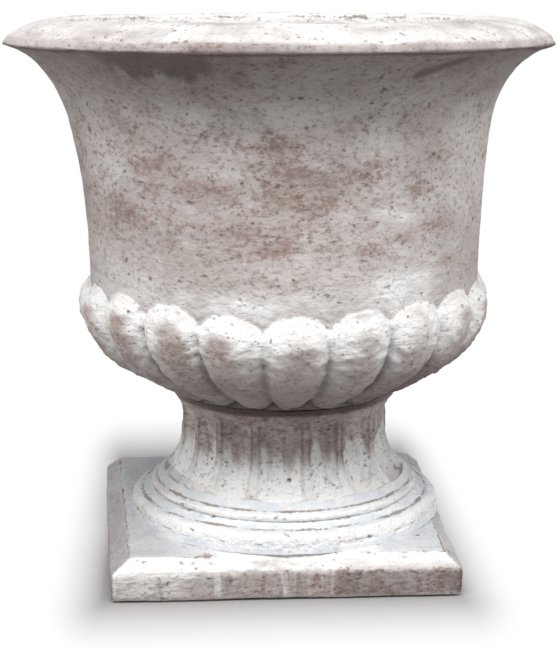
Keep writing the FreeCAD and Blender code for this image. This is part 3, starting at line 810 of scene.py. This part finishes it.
def whitewashed_terracotta():
    """Pinkish clay under a thin chalky wash: streaked, rubbed through, pitted and stained, with
    painted shade, painted shade in its pits and a painted sky tint on level faces.
    """
    f = Finish("whitewashed_terracotta", 0.88)
    f.shader.inputs["Specular IOR Level"].default_value = 0.25
    clouds = f.noise(9, 4, 1.6, 0.55, 0.6)
    drifts = f.noise(15, 4, 1.8, 0.55, 0.6, 3.1)
    blotches = f.noise(38, 5, 1.8, 0.62, 0.4)
    flecks = f.noise(230, 4, 1.4, 0.7)
    stipple = f.noise(165, 6, 1.4, 0.76, 0.1, 1.7)
    streaks = f.noise(30, 5, 8, 0.65)
    scratches = f.noise(110, 4, 6, 0.7)
    runs = f.noise(70, 4, 0.1, 0.6, 0.3)
    trickles = f.noise(55, 4, 0.16, 0.65, 0.5, 5.3)
    grain = f.noise(560, 2, 1, 0.5)
    dents = f.noise(150, 2, 1.4, 0.5, 0.2, 2.3)
    scrapes = f.noise(60, 2, 3.4, 0.5, 0.2, 4.1)
    rubbed, limewash, drips, painted_sky_tint, edges, grime_and_shade, grit = [
        f.painted(name)
        for name in ("rubbed", "limewash", "drips", "painted_sky_tint", "worn", "grime_and_shade", "grit")
    ]

    # The thin wash
    colour = f.layer(WASH_DULL, WASH_PALE, f.between(clouds, 0.36, 0.64))
    colour = f.coat(colour, WASH_COOL, f.between(drifts, 0.52, 0.68), 0.6)
    colour = f.coat(colour, WASH_STREAK, f.between(streaks, 0.52, 0.78), 0.4)
    colour = f.coat(colour, WASH_SCRATCH, f.between(scratches, 0.56, 0.76), 0.5)
    colour = f.coat(colour, WASH_STIPPLE, f.between(stipple, 0.48, 0.66), 0.6)

    # Where it is thin or rubbed through, the clay shows
    thin = f.plus(f.times(drifts, 0.55), f.times(blotches, 0.8))
    thin = f.plus(thin, f.times(rubbed, 0.36))
    mauve = f.between(thin, 0.62, 1.08)
    brown = f.between(f.plus(f.times(thin, 0.46), stipple), 0.84, 1.08)
    clay = f.layer(CLAY_DARK, CLAY_LIGHT, f.between(blotches, 0.4, 0.62))
    colour = f.coat(colour, MAUVE, mauve, 0.55)
    colour = f.coat(colour, clay, brown, 0.78)
    colour = f.coat(colour, CLAY_SCRATCH, f.between(scratches, 0.58, 0.72), 0.45)

    # Thick limewash, with small pits and pit marks through it, dark with painted shade, and runs
    # down the sides
    gritty = f.plus(f.times(f.between(blotches, 0.35, 0.7), 0.4), f.times(grit, 0.5))
    pit_marks = f.spots(95, f.plus(gritty, 0.08), 0.14, 0.36, 0.012)
    fine_pits = f.spots(190, f.plus(gritty, f.times(mauve, 0.2)), 0.22, 0.5, 0.003)
    pits = f.spots(42, 0.3, 0.05, 0.13, 0.008)
    thickness = f.plus(f.plus(limewash, f.times(blotches, 0.9)), f.times(stipple, 0.6))
    caught = f.between(thickness, 0.97, 1.47)
    hidden = f.plus(f.times(caught, -0.2), 1)
    colour = f.coat(colour, LIME, caught, 0.92)
    colour = f.coat(colour, FINE_PIT_SHADE, f.times(fine_pits, hidden), 0.6)
    colour = f.coat(colour, MARK_PIT_SHADE, f.times(pit_marks, hidden), 0.75)
    colour = f.coat(colour, LIME_RUN, f.times(f.between(runs, 0.5, 0.66), drips), 0.75)
    colour = f.coat(colour, BARE_RUN, f.times(f.between(trickles, 0.52, 0.7), drips), 0.65)

    # Painted sky tint on the ledges, worn edges, painted shade with grime, painted shade in pits,
    # and grain
    sky_tint = f.layer(SKY_TINT_DULL, SKY_TINT_PALE, f.between(blotches, 0.38, 0.62))
    worn = f.between(f.plus(edges, f.plus(f.times(blotches, 1.7), flecks)), 1.72, 2.1)
    dirt_and_shade = f.plus(f.times(grime_and_shade, 0.95), f.times(f.plus(blotches, flecks), 0.2))
    colour = f.coat(colour, sky_tint, painted_sky_tint, 0.82)
    colour = f.coat(colour, WORN_CLAY, worn, 0.8)
    colour = f.coat(colour, SHADE_AND_GRIME, f.between(dirt_and_shade, 0.15, 1.15), 0.92)
    colour = f.coat(colour, PIT_SHADE, pits, 0.7)
    colour = f.coat(colour, GRAIN, f.between(grain, 0.52, 0.8), 0.3)

    # Fine relief: scrapes, dents and holes
    coarse = f.plus(f.plus(f.times(limewash, 0.55), f.times(grit, 0.5)), 0.3)
    holes = f.plus(f.times(pits, -1.2), f.times(pit_marks, -0.6))
    holes = f.plus(holes, f.times(fine_pits, -0.3))
    skin = f.relief(f.times(f.plus(scrapes, -0.5), coarse), 0.0014)
    skin = f.relief(f.times(f.plus(dents, -0.5), coarse), 0.0034, 1, skin)
    skin = f.relief(holes, 0.0014, 0.8, skin)
    return f.finish(colour, skin)


def speckled(name, dark, light, roughness, scale, relief, metallic):
    """A plain stuff with a fine grain: rubber, mortar, plastic or steel."""
    f = Finish(name, roughness)
    f.shader.inputs["Metallic"].default_value = metallic
    grain = f.noise(scale, 5)
    colour = f.layer(dark, light, f.between(grain, 0.35, 0.68))
    return f.finish(colour, f.relief(grain, relief, 0.6))


def dress(node, material):
    """Give a CAD node its finish."""
    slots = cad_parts[node].data.materials
    slots.clear()
    slots.append(material)


def seen_rays(tree):
    """1 for what the viewer sees, straight or mirrored or through something; 0 for stray light."""
    ray = tree.nodes.new("ShaderNodeLightPath")
    seen = ray.outputs["Is Camera Ray"]
    for kind in ("Is Glossy Ray", "Is Transmission Ray"):
        either = tree.nodes.new("ShaderNodeMath")
        either.operation = "MAXIMUM"
        tree.links.new(seen, either.inputs[0])
        tree.links.new(ray.outputs[kind], either.inputs[1])
        seen = either.outputs["Value"]
    return seen


def make_stage():
    """A pale floor that keeps the planter's shadow, with a painted shadow round the plinth for the
    viewer, and is white further off.
    """
    bpy.ops.object.select_all(action="DESELECT")
    bpy.ops.mesh.primitive_circle_add(
        vertices=96, radius=14, fill_type="NGON", location=(0, 0, 0))
    floor = bpy.context.object
    floor.name = "studio_floor"
    f = Finish("studio_floor", 0.9)

    def beyond(value, edge, reach):
        """How far a value is past an edge, as a share of a reach."""
        past = f.sums("MAXIMUM", f.sums("SUBTRACT", value, edge), 0)
        return f.sums("DIVIDE", past, reach)

    # How far off a point of the floor is: 0 round the plinth, 1 where the painted shadow has died
    # out
    split = f.tree.nodes.new("ShaderNodeSeparateXYZ")
    f.put(split.inputs["Vector"], f.place)
    x, y = split.outputs["X"], split.outputs["Y"]
    aside = beyond(f.sums("ABSOLUTE", f.plus(x, 0.01), 0), 0.16, 0.05)
    along = f.plus(beyond(f.times(y, -1), 0.155, 0.11), beyond(y, 0.28, 0.18))
    far = f.sums("POWER", f.plus(f.times(aside, aside), f.times(along, along)), 0.5)
    close = f.sums("SUBTRACT", 1, f.sums("MINIMUM", far, 1))
    far = f.sums("SUBTRACT", 1, f.sums("POWER", close, 1.6))

    # Painted shadow: the floor darker round the plinth, in front and behind, for the viewer only;
    # stray light meets plain grey
    seen = seen_rays(f.tree)
    shade = f.layer((0.39, 0.38, 0.38, 1), (0.575, 0.56, 0.56, 1), f.between(y, -0.06, 0.06))
    f.put(f.shader.inputs["Base Color"], f.layer((0.5, 0.5, 0.5, 1), shade, seen))
    white = f.tree.nodes.new("ShaderNodeEmission")
    white.inputs["Color"].default_value = (1, 1, 1, 1)
    white.inputs["Strength"].default_value = 1
    mix = f.tree.nodes.new("ShaderNodeMixShader")
    f.put(mix.inputs["Fac"], f.times(far, seen))
    f.put(mix.inputs[1], f.shader.outputs["BSDF"])
    f.put(mix.inputs[2], white.outputs["Emission"])
    f.put(f.tree.nodes["Material Output"].inputs["Surface"], mix.outputs["Shader"])
    floor.data.materials.append(f.material)


def make_world():
    """Even sky light, seen as plain white."""
    world = bpy.data.worlds.new("studio")
    bpy.context.scene.world = world
    world.use_nodes = True
    tree = world.node_tree
    sky = tree.nodes["Background"]
    sky.inputs["Color"].default_value = (0.96, 0.98, 1, 1)
    sky.inputs["Strength"].default_value = 0.26
    white = tree.nodes.new("ShaderNodeBackground")
    white.inputs["Color"].default_value = (1, 1, 1, 1)
    white.inputs["Strength"].default_value = 1
    mix = tree.nodes.new("ShaderNodeMixShader")
    tree.links.new(seen_rays(tree), mix.inputs["Fac"])
    tree.links.new(sky.outputs["Background"], mix.inputs[1])
    tree.links.new(white.outputs["Background"], mix.inputs[2])
    tree.links.new(mix.outputs["Shader"], tree.nodes["World Output"].inputs["Surface"])


def add_lamp(name, place, target, width, height, watts):
    """A wide soft lamp aimed at a point."""
    lamp = bpy.data.lights.new(name, "AREA")
    lamp.shape = "RECTANGLE"
    lamp.size = width
    lamp.size_y = height
    lamp.energy = watts
    holder = bpy.data.objects.new(name, lamp)
    bpy.context.scene.collection.objects.link(holder)
    holder.location = place
    aim = Vector(target) - Vector(place)
    holder.rotation_euler = aim.to_track_quat("-Z", "Y").to_euler()


def make_camera():
    """The photograph's viewpoint: a little above the rim, looking down by twelve degrees."""
    lens = bpy.data.cameras.new("viewer")
    lens.sensor_width = SENSOR_SIDE
    lens.lens = FOCAL_PIXELS / PICTURE_PIXELS * SENSOR_SIDE
    lens.clip_end = 60
    viewer = bpy.data.objects.new("viewer", lens)
    bpy.context.scene.collection.objects.link(viewer)
    turn = math.radians(VIEWER_TURN)
    away = CAMERA_AWAY * MM
    aside = CAMERA_ASIDE * MM
    viewer.location = (
        away * math.sin(turn) + aside * math.cos(turn),
        -away * math.cos(turn) + aside * math.sin(turn),
        CAMERA_HEIGHT * MM,
    )
    viewer.rotation_euler = (math.radians(90 - CAMERA_DIP), 0, turn)
    bpy.context.scene.camera = viewer


clay_finish = whitewashed_terracotta()
for piece, node, body in (
    (make_bowl(), "bowl", "bowl"),
    (make_stem(), "stem", "pedestal"),
    (make_plinth(), "plinth", "pedestal"),
):
    piece.data.materials.append(clay_finish)
    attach(piece, body)
    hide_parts(node)

# The CAD nodes that show as they are: finish, two tones, roughness, grain, relief in metres, metal
for node, finish, dark, light, roughness, scale, relief, metallic in (
    ("bowl_seat_ring", "seat_rubber", (52, 50, 48), (84, 82, 80), 0.8, 300, 0.0004, 0),
    ("foot_bedding", "mortar", (150, 146, 140), (196, 192, 186), 0.9, 260, 0.0006, 0),
    ("foot_dowels", "stainless_steel", (168, 168, 168), (196, 196, 196), 0.35, 500, 0.0001, 1),
    ("drain_screen", "screen_plastic", (28, 28, 28), (46, 46, 46), 0.5, 400, 0.0002, 0),
    ("plinth_pads", "pad_rubber", (24, 24, 24), (44, 44, 44), 0.8, 300, 0.0004, 0),
):
    dress(node, speckled(finish, rgb(*dark), rgb(*light), roughness, scale, relief, metallic))

make_stage()
make_world()
for lamp in LAMPS:
    add_lamp(*lamp)
make_camera()
bpy.context.scene.view_settings.view_transform = "Standard"
